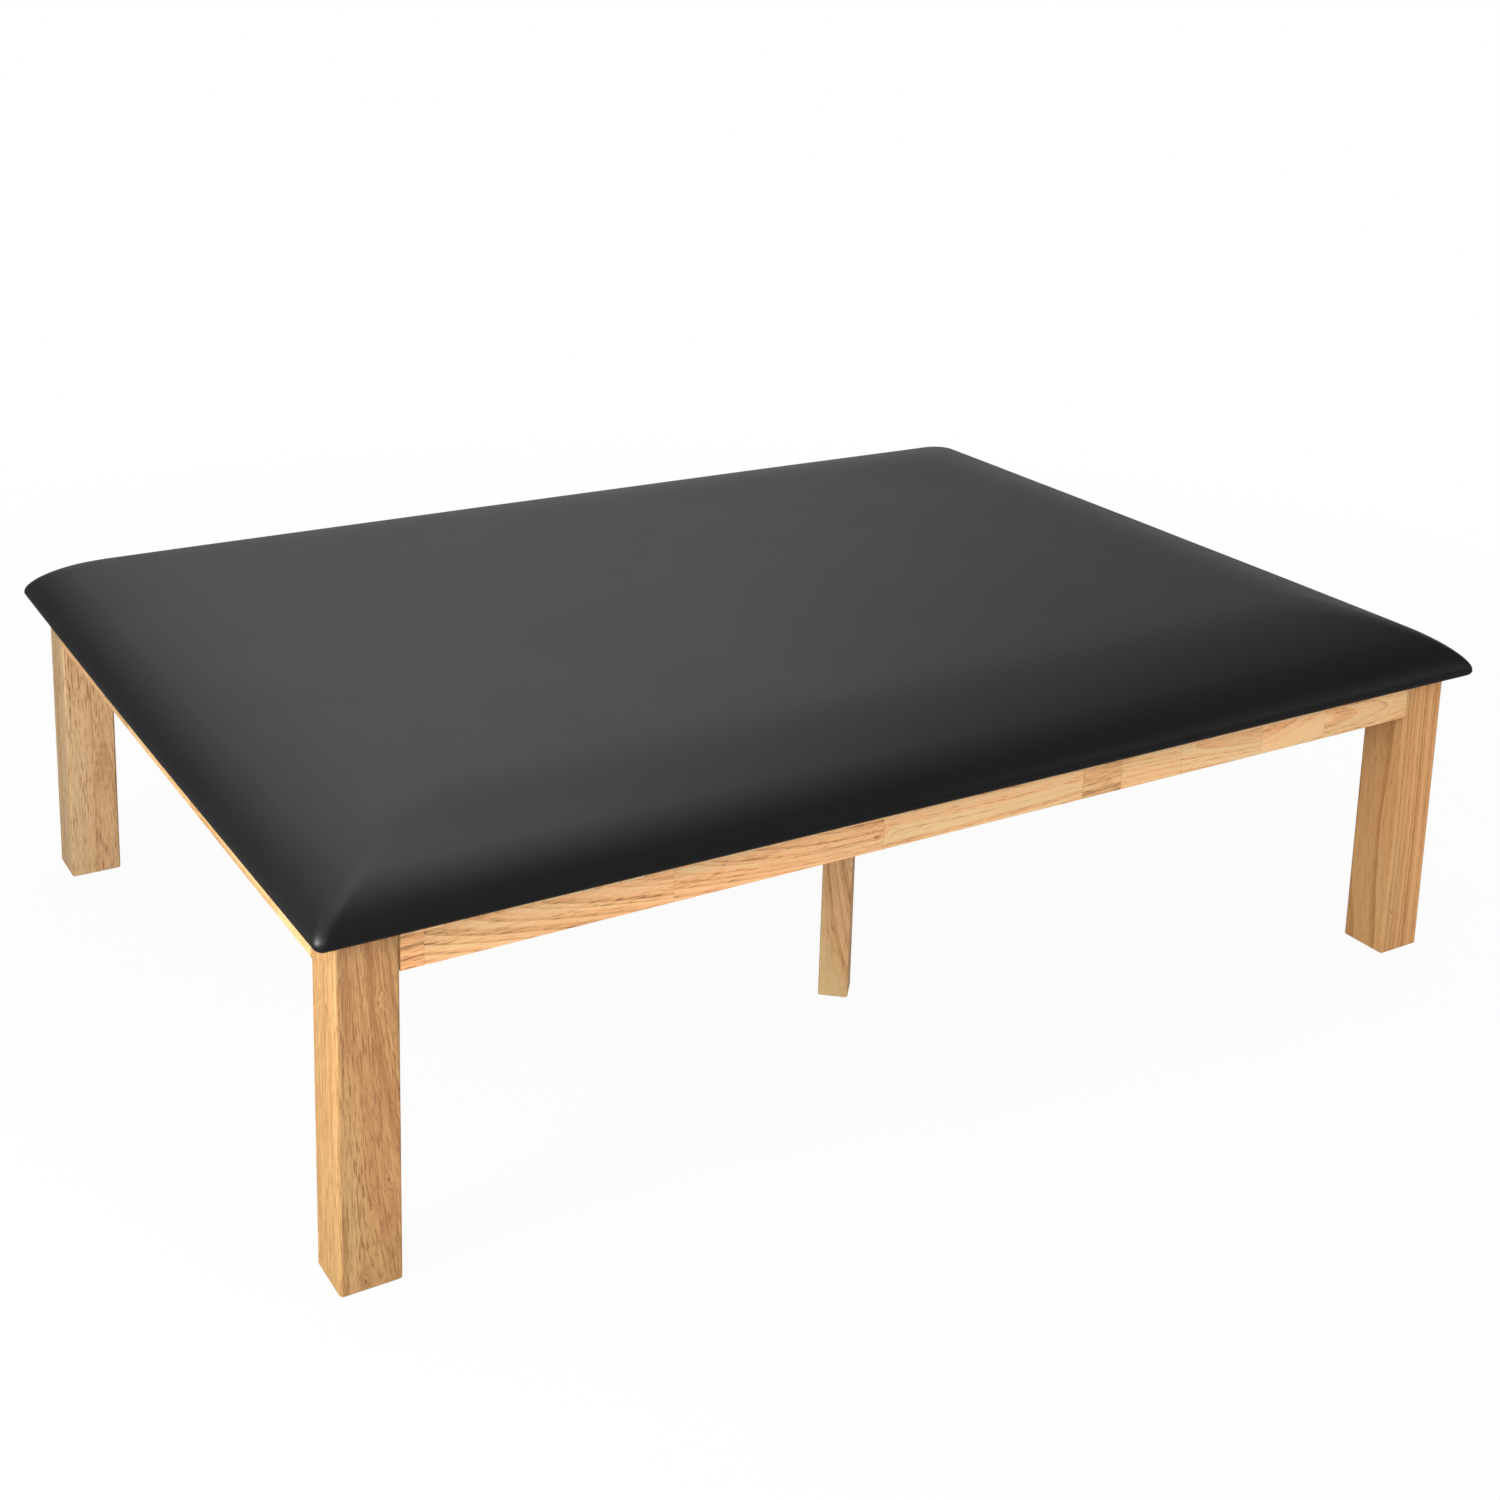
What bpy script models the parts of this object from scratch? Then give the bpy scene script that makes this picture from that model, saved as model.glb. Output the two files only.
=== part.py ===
# A low, wide massage and mat table: a hardwood frame on four corner legs and two screw-in middle
# legs, carrying a padded deck in black vinyl. Metres, +Z up. +X runs along the front, which faces
# -Y, and the origin is on the floor under the middle of the table.

import math

import bmesh
import bpy
from mathutils import Matrix, Vector

# Frame
frame_length = 2.050
frame_width = 1.482
frame_height = 0.5215
seat_gap = 0.0003

# Corner legs, square in section
leg_side = 0.089
leg_edge_radius = 0.005
leg_end_ease = 0.0015

# Rails between the legs, their outer faces flush with the legs
rail_height = 0.070
rail_thickness = 0.032
rail_edge_radius = 0.0025

# Corner braces, which cross each inner corner and draw its leg into the frame
brace_thickness = 0.032
brace_height = 0.056
brace_drop = 0.005
brace_blunt_length = 0.012
brace_ease = 0.0015
leg_flat_depth = 0.021
leg_flat_margin = 0.003

# Hanger bolts and flange nuts of the corner joints
corner_bolt_radius = 0.004
corner_bolt_core_radius = 0.0032
corner_bolt_grip = 0.045
corner_bolt_tail = 0.013
corner_bolt_place_shares = (0.27, 0.73)
bolt_hole_gap = 0.0005
bolt_point_length = 0.006
bolt_chamfer = 0.001
nut_across_flats = 0.013
nut_height = 0.008
nut_flange_radius = 0.009
nut_flange_thickness = 0.0018

# Deck of two plywood panels, which meet over the middle beam
deck_overhang = 0.030
deck_thickness = 0.018
deck_joint = 0.0005

# Beam and joists under the deck
beam_width = 0.050
joist_width = 0.032
joist_height = 0.060
joist_place_share = 0.25
beam_edge_radius = 0.002

# Middle legs, each on one hanger bolt in the beam, left turned where their threads came up tight
mid_leg_side = 0.050
mid_leg_place_share = 0.253
mid_leg_edge_radius = 0.003
mid_leg_end_ease = 0.0015
mid_leg_turn = math.radians(-40)
mid_bolt_radius = 0.005
mid_bolt_core_radius = 0.0041
mid_bolt_grip = 0.040
mid_bolt_reach = 0.024

# Threaded inserts, which take the middle legs' bolts
insert_radius = 0.0075
insert_length = 0.025
insert_flange_radius = 0.0105
insert_flange_thickness = 0.0015
insert_relief = 0.008

# Steel angle brackets
bracket_leg = 0.030
bracket_width = 0.040
bracket_thickness = 0.002
bracket_hole_radius = 0.0025
bracket_hole_spacing = 0.022
bracket_hole_place_share = 0.58
deck_bracket_place_share = 0.36

# Cushion, as its cover's outer face shows it
cushion_swell = 0.0085
cushion_bow = 0.0042
cushion_corner_radius = 0.016
corner_softening_share = 0.25
ring_radius_share = 0.5
widest_rise = 0.0105
rim_rise = 0.104
crown_rise = 0.002
roll_depth = 0.240
roll_top_power = 2.0
roll_side_power = 1.5
crown_ring_shares = (0.45, 0.9)

# Cover, soft top foam and firm base foam
cover_thickness = 0.001
cover_wrap = 0.050
cover_fold_radius = 0.003
soft_foam_thickness = 0.028
base_inset = 0.028
base_side_height = 0.008
base_slope_share = 0.42
base_corner_radius = 0.025

# Counts of facets
round_steps = 16
edge_steps = 2
corner_steps = 5
long_side_steps = 6
short_side_steps = 4
roll_steps = 8
lower_roll_steps = 3

# Overrun of every cutter, and the distance within which a turned outline is closed
overrun = 0.002
weld_distance = 0.00001

# Heights and places that follow
half_length = frame_length / 2
half_width = frame_width / 2
rail_bottom = frame_height - rail_height
cover_underside = frame_height + seat_gap
deck_bottom = cover_underside + cover_thickness + seat_gap
deck_top = deck_bottom + deck_thickness
support_top = deck_bottom - seat_gap
cushion_overhang = deck_overhang + cushion_swell
mid_leg_offset = mid_leg_place_share * frame_width
leg_diagonal = leg_side * math.sqrt(2)
brace_near = leg_diagonal - leg_flat_depth + seat_gap
brace_far = brace_near + brace_thickness
brace_middle = frame_height - brace_drop - brace_height / 2
brace_bottom = brace_middle - brace_height / 2
crossing_length = frame_width - 2 * (rail_thickness + seat_gap)
deck_corner_radius = max(cushion_corner_radius - cushion_swell, cover_fold_radius)

quarter_turn = math.pi / 2
along_x = (0, quarter_turn, 0)
z_to_x = Matrix.Rotation(quarter_turn, 4, "Y")
smooth_angle = math.radians(35)

# Finishes: colour, roughness, metallic
finishes = {
    "hardwood": ((0.68, 0.42, 0.19, 1), 0.42, 0.0),
    "plywood": ((0.55, 0.38, 0.21, 1), 0.7, 0.0),
    "black_vinyl": ((0.018, 0.018, 0.019, 1), 0.42, 0.0),
    "firm_foam": ((0.62, 0.60, 0.50, 1), 0.95, 0.0),
    "soft_foam": ((0.78, 0.75, 0.66, 1), 0.95, 0.0),
    "zinc_steel": ((0.60, 0.61, 0.63, 1), 0.35, 1.0),
}


def clear_scene():
    for thing in list(bpy.data.objects):
        bpy.data.objects.remove(thing)


def new_collection(name):
    made = bpy.data.collections.new(name)
    bpy.context.scene.collection.children.link(made)
    return made


def add_finish(name):
    colour, roughness, metallic = finishes[name]
    made = bpy.data.materials.new(name)
    made.use_nodes = True
    shader = made.node_tree.nodes["Principled BSDF"]
    shader.inputs["Base Color"].default_value = colour
    shader.inputs["Roughness"].default_value = roughness
    shader.inputs["Metallic"].default_value = metallic
    made.diffuse_color = colour


def place(name, mesh, finish, location=(0, 0, 0), turn=(0, 0, 0), parent=None):
    """Adds a piece of the table. Repeated pieces share their mesh."""
    if not mesh.materials:
        mesh.materials.append(bpy.data.materials[finish])
    piece = bpy.data.objects.new(name, mesh)
    table.objects.link(piece)
    piece.location = location
    piece.rotation_euler = turn
    piece.parent = parent
    return piece


def pivot(name, location, turn):
    """An empty that carries the pieces of a corner or of a middle leg, turned about Z."""
    empty = bpy.data.objects.new(name, None)
    table.objects.link(empty)
    empty.location = location
    empty.rotation_euler.z = turn
    return empty


def mesh_from(name, shape):
    """A mesh of a bmesh, smooth but for its sharp edges. The bmesh is freed."""
    mesh = bpy.data.meshes.new(name)
    shape.to_mesh(mesh)
    shape.free()
    return smoothed(mesh)


def smoothed(mesh):
    mesh.shade_smooth()
    mesh.set_sharp_from_angle(angle=smooth_angle)
    return mesh


def helper_object(name, mesh):
    """An object outside the table, to cut with or to be cut."""
    helper = bpy.data.objects.new(name, mesh)
    cutters.objects.link(helper)
    helper.hide_render = True
    helper.display_type = "WIRE"
    return helper


def applied(body):
    """The mesh of an object with its modifiers applied. The object goes."""
    bpy.context.view_layer.update()
    graph = bpy.context.evaluated_depsgraph_get()
    mesh = bpy.data.meshes.new_from_object(body.evaluated_get(graph))
    mesh.name = body.name
    bpy.data.objects.remove(body)
    return smoothed(mesh)


def box(size, centre=(0, 0, 0)):
    shape = bmesh.new()
    bmesh.ops.create_cube(shape, size=1)
    bmesh.ops.scale(shape, vec=size, verts=shape.verts)
    bmesh.ops.translate(shape, vec=centre, verts=shape.verts)
    return shape


def prism(sides, radius, length):
    """A bar with that many sides along Z, centred on its origin."""
    shape = bmesh.new()
    bmesh.ops.create_cone(
        shape, cap_ends=True, segments=sides, radius1=radius, radius2=radius, depth=length
    )
    return shape


def box_cutter(name, size, centre):
    return helper_object(name, mesh_from(name, box(size, centre)))


def drill(name, radius, length, location, turn=(0, 0, 0)):
    """A round cutter along Z, centred on its location."""
    helper = helper_object(name, mesh_from(name, prism(round_steps, radius, length)))
    helper.location = location
    helper.rotation_euler = turn
    return helper


def cut(name, mesh, helpers):
    """The mesh with the helpers' shapes taken away."""
    body = helper_object(name, mesh)
    for helper in helpers:
        taken = body.modifiers.new(helper.name, "BOOLEAN")
        taken.object = helper
    return applied(body)


def round_edges(shape, edges, radius, segments):
    bmesh.ops.bevel(
        shape, geom=edges, offset=radius, segments=segments, profile=0.5, affect="EDGES"
    )


def upright_edges(shape):
    return [edge for edge in shape.edges if abs(edge.verts[0].co.z - edge.verts[1].co.z) > weld_distance]


def level_edges(shape):
    return [edge for edge in shape.edges if abs(edge.verts[0].co.z - edge.verts[1].co.z) < weld_distance]


def post(side, height, edge_radius, end_ease):
    """A square leg on the floor, its long edges rounded and its ends eased."""
    shape = box((side, side, height), (0, 0, height / 2))
    round_edges(shape, upright_edges(shape), edge_radius, edge_steps)
    round_edges(shape, level_edges(shape), end_ease, 1)
    return shape


def long_edges(shape):
    return [edge for edge in shape.edges if abs(edge.verts[0].co.x - edge.verts[1].co.x) > weld_distance]


def bar(name, length, height, thickness, edge_radius):
    """A rail, beam or joist along X, centred on its origin. Its long edges are rounded, and its
    ends are sawn square, to close up against what they meet."""
    shape = box((length, thickness, height))
    round_edges(shape, long_edges(shape), edge_radius, edge_steps)
    return mesh_from(name, shape)


def turned(name, outline, closed):
    """A turned piece from (radius, height) points down its outer side. A closed outline leaves
    a bore up its middle."""
    points = [(radius, 0, height) for radius, height in outline]
    edges = [(i, i + 1) for i in range(len(points) - 1)]
    if closed:
        edges.append((len(points) - 1, 0))
    mesh = bpy.data.meshes.new(name)
    mesh.from_pydata(points, edges, [])
    body = helper_object(name, mesh)
    screw = body.modifiers.new("turn", "SCREW")
    screw.steps = round_steps
    screw.render_steps = round_steps
    screw.use_merge_vertices = True
    screw.merge_threshold = weld_distance
    return applied(body)


def hanger_bolt(name, radius, core_radius, bottom, top):
    """A bolt with a wood thread below its shoulder and a machine thread above it."""
    shoulder = (bottom + top) / 2
    outline = [
        (0, top),
        (radius - bolt_chamfer, top),
        (radius, top - bolt_chamfer),
        (radius, shoulder),
        (core_radius, shoulder - bolt_chamfer),
        (core_radius, bottom + bolt_point_length),
        (0, bottom),
    ]
    return turned(name, outline, closed=False)


def corner_bolt_heights():
    return [brace_bottom + share * brace_height for share in corner_bolt_place_shares]


def corner_leg():
    """A leg whose outer edge is on its corner's Z axis and whose inner edge is on +X.

    The inner edge is cut flat behind the brace, and drilled for the hanger bolts.
    """
    mesh = mesh_from("corner_leg", post(leg_side, frame_height, leg_edge_radius, leg_end_ease))
    mesh.transform(Matrix.Translation((leg_diagonal / 2, 0, 0)) @ Matrix.Rotation(quarter_turn / 2, 4, "Z"))
    flat_bottom = brace_bottom - leg_flat_margin
    flat_height = frame_height + overrun - flat_bottom
    flat_depth = leg_flat_depth + overrun
    flat_middle = leg_diagonal + overrun - flat_depth / 2
    flat = box_cutter(
        "leg_flat", (flat_depth, leg_side, flat_height), (flat_middle, 0, flat_bottom + flat_height / 2)
    )
    hole_length = corner_bolt_grip + seat_gap + overrun
    hole_middle = brace_near + overrun - hole_length / 2
    radius = corner_bolt_radius + bolt_hole_gap
    holes = [
        drill("leg_bolt_hole", radius, hole_length, (hole_middle, 0, height), along_x)
        for height in corner_bolt_heights()
    ]
    return cut("corner_leg", mesh, [flat] + holes)


def corner_brace():
    """A block across the corner. Its splayed ends seat on the two rails, and their tips are blunt."""

    def half_reach(x):
        return x - (rail_thickness + seat_gap) * math.sqrt(2)

    middle = (brace_near + brace_far) / 2
    shape = box((brace_thickness, brace_thickness, brace_height), (middle, 0, brace_middle))
    for vertex in shape.verts:
        vertex.co.y = math.copysign(half_reach(vertex.co.x), vertex.co.y)
    round_edges(shape, shape.edges[:], brace_ease, 1)
    tip_length = brace_blunt_length + overrun
    tip_middle = half_reach(brace_far) - brace_blunt_length + tip_length / 2
    tips = [
        box_cutter(
            "brace_tip",
            (brace_thickness + 2 * overrun, tip_length, brace_height + 2 * overrun),
            (middle, side * tip_middle, brace_middle),
        )
        for side in (-1, 1)
    ]
    radius = corner_bolt_radius + bolt_hole_gap
    holes = [
        drill("brace_bolt_hole", radius, brace_thickness + 2 * overrun, (middle, 0, height), along_x)
        for height in corner_bolt_heights()
    ]
    return cut("corner_brace", mesh_from("corner_brace", shape), tips + holes)


def flange_nut():
    """A hexagonal nut on a round flange, seated on its origin and facing +X."""
    hexagon = prism(6, nut_across_flats / math.sqrt(3), nut_height)
    body = helper_object("flange_nut", mesh_from("flange_nut", hexagon))
    body.location.z = nut_height / 2
    flange_middle = (0, 0, nut_flange_thickness / 2)
    joined = body.modifiers.new("flange", "BOOLEAN")
    joined.operation = "UNION"
    joined.object = drill("nut_flange", nut_flange_radius, nut_flange_thickness, flange_middle)
    bore = drill(
        "nut_bore", corner_bolt_radius + bolt_hole_gap, nut_height + 2 * overrun, body.location
    )
    bored = body.modifiers.new("bore", "BOOLEAN")
    bored.object = bore
    nut = applied(body)
    nut.transform(z_to_x @ Matrix.Translation((0, 0, nut_height / 2)))
    return nut


def build_corners():
    """The four corner joints: leg, brace, and two hanger bolts with their nuts."""
    leg = corner_leg()
    brace = corner_brace()
    nut = flange_nut()
    bolt = hanger_bolt(
        "corner_bolt",
        corner_bolt_radius,
        corner_bolt_core_radius,
        brace_near - corner_bolt_grip,
        brace_far + corner_bolt_tail,
    )
    bolt.transform(z_to_x)
    signs = {"front_left": (-1, -1), "front_right": (1, -1), "back_right": (1, 1), "back_left": (-1, 1)}
    for name, (x, y) in signs.items():
        corner = pivot(f"corner_{name}", (x * half_length, y * half_width, 0), math.atan2(-y, -x))
        place(f"leg_{name}", leg, "hardwood", parent=corner)
        place(f"corner_brace_{name}", brace, "hardwood", parent=corner)
        for level, height in zip(("lower", "upper"), corner_bolt_heights()):
            seat = (brace_far + seat_gap, 0, height)
            place(f"hanger_bolt_{name}_{level}", bolt, "zinc_steel", (0, 0, height), parent=corner)
            place(f"flange_nut_{name}_{level}", nut, "zinc_steel", seat, parent=corner)


def build_rails():
    between = 2 * (leg_side + seat_gap)
    long_rail = bar("long_rail", frame_length - between, rail_height, rail_thickness, rail_edge_radius)
    short_rail = bar("short_rail", frame_width - between, rail_height, rail_thickness, rail_edge_radius)
    middle = frame_height - rail_height / 2
    out_y = half_width - rail_thickness / 2
    out_x = half_length - rail_thickness / 2
    place("front_rail", long_rail, "hardwood", (0, -out_y, middle))
    place("back_rail", long_rail, "hardwood", (0, out_y, middle), (0, 0, 2 * quarter_turn))
    place("left_rail", short_rail, "hardwood", (-out_x, 0, middle), (0, 0, -quarter_turn))
    place("right_rail", short_rail, "hardwood", (out_x, 0, middle), (0, 0, quarter_turn))


def build_crossings():
    """The middle beam, bored for the threaded inserts, and a joist on each side of it."""
    beam_height = support_top - rail_bottom
    beam = bar("center_beam", crossing_length, beam_height, beam_width, beam_edge_radius)
    bores = {
        insert_radius + seat_gap: max(insert_length, mid_bolt_reach) + insert_relief,
        insert_flange_radius + seat_gap: insert_flange_thickness + seat_gap,
    }
    holes = []
    for side in (-1, 1):
        for radius, depth in bores.items():
            middle = (depth - overrun - beam_height) / 2
            spot = (side * mid_leg_offset, 0, middle)
            holes.append(drill("beam_bore", radius, depth + overrun, spot))
    along_y = (0, 0, quarter_turn)
    beam_spot = (0, 0, support_top - beam_height / 2)
    place("center_beam", cut("center_beam", beam, holes), "hardwood", beam_spot, along_y)
    joist = bar("joist", crossing_length, joist_height, joist_width, beam_edge_radius)
    for name, side in (("left", -1), ("right", 1)):
        spot = (side * joist_place_share * frame_length, 0, support_top - joist_height / 2)
        place(f"joist_{name}", joist, "hardwood", spot, along_y)


def build_middle_legs():
    """Two legs that screw up into the beam, each with its bolt, and the insert that takes it."""
    leg_height = rail_bottom - seat_gap
    hole_length = mid_bolt_grip + seat_gap + overrun
    hole_middle = leg_height + overrun - hole_length / 2
    hole = drill("middle_leg_hole", mid_bolt_radius + bolt_hole_gap, hole_length, (0, 0, hole_middle))
    blank = mesh_from("middle_leg", post(mid_leg_side, leg_height, mid_leg_edge_radius, mid_leg_end_ease))
    leg = cut("middle_leg", blank, [hole])
    bolt = hanger_bolt(
        "middle_leg_bolt",
        mid_bolt_radius,
        mid_bolt_core_radius,
        leg_height - mid_bolt_grip,
        rail_bottom + mid_bolt_reach,
    )
    insert = turned(
        "middle_leg_insert",
        [
            (insert_radius, insert_length),
            (insert_radius, insert_flange_thickness),
            (insert_flange_radius, insert_flange_thickness),
            (insert_flange_radius, 0),
            (mid_bolt_radius + bolt_hole_gap, 0),
            (mid_bolt_radius + bolt_hole_gap, insert_length),
        ],
        closed=True,
    )
    for name, side in (("front", -1), ("back", 1)):
        axis = pivot(f"mid_leg_{name}_axis", (0, side * mid_leg_offset, 0), mid_leg_turn)
        place(f"mid_leg_{name}", leg, "hardwood", parent=axis)
        place(f"mid_leg_{name}_bolt", bolt, "zinc_steel", parent=axis)
        seat = (0, side * mid_leg_offset, rail_bottom)
        place(f"mid_leg_{name}_insert", insert, "zinc_steel", seat)


def angle_bracket():
    """A steel angle. Its outer corner lies along Y, with one flange out on +X and one down."""
    shape = box((bracket_leg, bracket_width, bracket_leg), (bracket_leg / 2, 0, -bracket_leg / 2))
    top_or_back = [face for face in shape.faces if face.normal.z > 0.5 or face.normal.x < -0.5]
    others = [face for face in shape.faces if face not in top_or_back]
    bmesh.ops.delete(shape, geom=others, context="FACES")
    body = helper_object("angle_bracket", mesh_from("angle_bracket", shape))
    wall = body.modifiers.new("wall", "SOLIDIFY")
    wall.thickness = bracket_thickness
    wall.offset = -1
    wall.use_even_offset = True
    out = bracket_hole_place_share * bracket_leg
    middle = bracket_thickness / 2
    length = bracket_thickness + 2 * overrun
    holes = []
    for side in (-1, 1):
        across = side * bracket_hole_spacing / 2
        holes.append(drill("bracket_hole", bracket_hole_radius, length, (out, across, -middle)))
        holes.append(drill("bracket_hole", bracket_hole_radius, length, (middle, across, -out), along_x))
    return cut("angle_bracket", applied(body), holes)


def build_brackets():
    """Brackets that hold the deck to the rails, and the beam and joists to the long rails."""
    bracket = angle_bracket()
    inner_y = half_width - rail_thickness - seat_gap
    inner_x = half_length - rail_thickness - seat_gap
    facing = {(-1, -1): quarter_turn, (1, -1): 0, (1, 1): -quarter_turn, (-1, 1): 2 * quarter_turn}
    crossings = {
        "beam_bracket": (0, beam_width, (support_top + rail_bottom) / 2),
        "joist_bracket": (joist_place_share * frame_length, joist_width, support_top - joist_height / 2),
    }
    for y_side, front in ((-1, "front"), (1, "back")):
        for x_side, hand in ((-1, "left"), (1, "right")):
            spot = (x_side * deck_bracket_place_share * frame_length, y_side * inner_y, support_top)
            turn = (0, 0, -y_side * quarter_turn)
            place(f"deck_bracket_{front}_{hand}", bracket, "zinc_steel", spot, turn)
            for name, (offset, width, middle) in crossings.items():
                spot = (x_side * (offset + width / 2 + seat_gap), y_side * inner_y, middle)
                turn = (quarter_turn, 0, facing[x_side, y_side])
                place(f"{name}_{front}_{hand}", bracket, "zinc_steel", spot, turn)
    place("deck_bracket_left", bracket, "zinc_steel", (-inner_x, 0, support_top))
    half_turn = (0, 0, 2 * quarter_turn)
    place("deck_bracket_right", bracket, "zinc_steel", (inner_x, 0, support_top), half_turn)


def build_deck():
    """Two plywood panels with rounded outer corners, one each side of the middle beam."""
    length = half_length + deck_overhang - deck_joint / 2
    width = frame_width + 2 * deck_overhang
    middle = (deck_joint + length) / 2
    shape = box((length, width, deck_thickness), (middle, 0, deck_thickness / 2))
    outer = [edge for edge in upright_edges(shape) if edge.verts[0].co.x > middle]
    round_edges(shape, outer, deck_corner_radius, corner_steps)
    panel = mesh_from("deck_panel", shape)
    place("deck_panel_right", panel, "plywood", (0, 0, deck_bottom))
    place("deck_panel_left", panel, "plywood", (0, 0, deck_bottom), (0, 0, 2 * quarter_turn))


def rounded_loop(outset, radius, bow):
    """Points of a rounded rectangle that far outside the frame, its sides bowed outwards."""
    reach = Vector((half_length + outset, half_width + outset))
    points = []
    for quadrant, (x_side, y_side) in enumerate(((1, 1), (-1, 1), (-1, -1), (1, -1))):
        centre = Vector((x_side * (reach.x - radius), y_side * (reach.y - radius)))
        for step in range(corner_steps + 1):
            angle = (quadrant + step / corner_steps) * quarter_turn
            points.append(centre + radius * Vector((math.cos(angle), math.sin(angle))))
        # Along the top and bottom sides of the loop x changes sign, and along its ends y does.
        ends = quadrant % 2
        start = points[-1]
        stop = Vector((start.x, -start.y)) if ends else Vector((-start.x, start.y))
        steps = short_side_steps if ends else long_side_steps
        points += [start.lerp(stop, step / steps) for step in range(1, steps)]
    bowed = []
    for point in points:
        along = Vector((point.x / reach.x, point.y / reach.y))
        out = Vector((along.x * (1 - along.y**2), along.y * (1 - along.x**2)))
        bowed.append(point + bow * out)
    return bowed


def loft(name, rings, close_end):
    """A surface through rings of (outset, height, corner radius, bow), closed over the first."""
    shape = bmesh.new()
    loops = []
    for outset, height, radius, bow in rings:
        loops.append([shape.verts.new((*point, height)) for point in rounded_loop(outset, radius, bow)])
    for inner, outer in zip(loops, loops[1:]):
        for i in range(len(inner)):
            shape.faces.new((inner[i - 1], outer[i - 1], outer[i], inner[i]))
    shape.faces.new(loops[0])
    if close_end:
        shape.faces.new(reversed(loops[-1]))
    return mesh_from(name, shape)


def cushion_section(depth):
    """Rings that far under the cover's outer face, from the crown to the deck's lower edge.

    The top rolls over in a soft superellipse. Below the widest line the sides draw in to the
    deck. The corners are tightest at that line and widen inwards, up to a share of the ring's
    half width, so that no ring crosses itself.
    """
    widest = frame_height + widest_rise
    rim = frame_height + rim_rise
    edge = deck_overhang + seat_gap + cover_thickness
    flat_reach = half_width + cushion_overhang - roll_depth
    section = []
    for share in reversed(crown_ring_shares):
        height = rim + crown_rise * (1 - (1 - share) ** 2)
        section.append((cushion_overhang - roll_depth - share * flat_reach, height, cushion_bow))
    for step in range(roll_steps + 1):
        angle = quarter_turn * (1 - step / roll_steps)
        across = abs(math.cos(angle)) ** (2 / roll_top_power)
        up = math.sin(angle) ** (2 / roll_side_power)
        outset = cushion_overhang - roll_depth * (1 - across)
        section.append((outset, widest + (rim - widest) * up, cushion_bow))
    for step in range(1, lower_roll_steps + 1):
        angle = quarter_turn * step / lower_roll_steps
        outset = edge + (cushion_overhang - edge) * math.cos(angle)
        height = widest - (widest - cover_underside) * math.sin(angle)
        section.append((outset, height, cushion_bow * math.cos(angle)))
    rings = []
    for i, (outset, height, bow) in enumerate(section):
        before, after = section[max(i - 1, 0)], section[min(i + 1, len(section) - 1)]
        along = Vector((after[0] - before[0], after[1] - before[1])).normalized()
        inset = cushion_overhang - outset
        if i < len(section) - lower_roll_steps:
            soft_radius = cushion_corner_radius + corner_softening_share * inset
            radius = min(soft_radius, ring_radius_share * (half_width + outset))
        else:
            radius = max(cushion_corner_radius - inset, cover_fold_radius)
        rings.append((outset + depth * along.y, height - depth * along.x, radius, bow))
    return rings


def build_cover():
    """The vinyl: one skin over the foam and round the deck's edge, tucked in over the rails."""
    rings = cushion_section(0)
    rings.append((deck_overhang - cover_wrap, cover_underside, cover_fold_radius, 0))
    cover = place("vinyl_cover", loft("vinyl_cover", rings, close_end=False), "black_vinyl")
    skin = cover.modifiers.new("thickness", "SOLIDIFY")
    skin.thickness = cover_thickness
    skin.offset = -1
    skin.use_even_offset = True


def base_foam_rings(clearance):
    """The firm slab from its top to its foot, or the hollow that clears it."""
    foot = deck_top + seat_gap
    top = frame_height + rim_rise - cover_thickness - seat_gap - soft_foam_thickness
    outset = deck_overhang - base_inset + clearance
    slope_run = base_slope_share * roll_depth
    soft_corner = base_corner_radius + corner_softening_share * slope_run
    return [
        (outset - slope_run, top + clearance, soft_corner, 0),
        (outset, foot + base_side_height + clearance, base_corner_radius, 0),
        (outset, foot, base_corner_radius, 0),
    ]


def build_foam():
    """A firm slab with sloped sides on the deck, and a soft layer over it and the deck's edge."""
    place("foam_base", loft("foam_base", base_foam_rings(0), close_end=True), "firm_foam")
    rings = cushion_section(cover_thickness + seat_gap)[:-1]
    skirt_outset = deck_overhang + seat_gap
    skirt_radius = deck_corner_radius + seat_gap
    rings.append((skirt_outset, rings[-1][1], skirt_radius, 0))
    rings.append((skirt_outset, deck_top + seat_gap, skirt_radius, 0))
    rings += reversed(base_foam_rings(seat_gap))
    place("foam_top", loft("foam_top", rings, close_end=True), "soft_foam")


clear_scene()
table = new_collection("massage_table")
cutters = new_collection("cutters")
for finish_name in finishes:
    add_finish(finish_name)
build_corners()
build_rails()
build_crossings()
build_middle_legs()
build_brackets()
build_deck()
build_foam()
build_cover()
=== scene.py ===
# Massage table: the looks of its cushion, wooden frame and small fasteners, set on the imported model.
import math
import random

import bmesh
import bpy
import numpy as np
from mathutils import Matrix, Vector, noise


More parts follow.
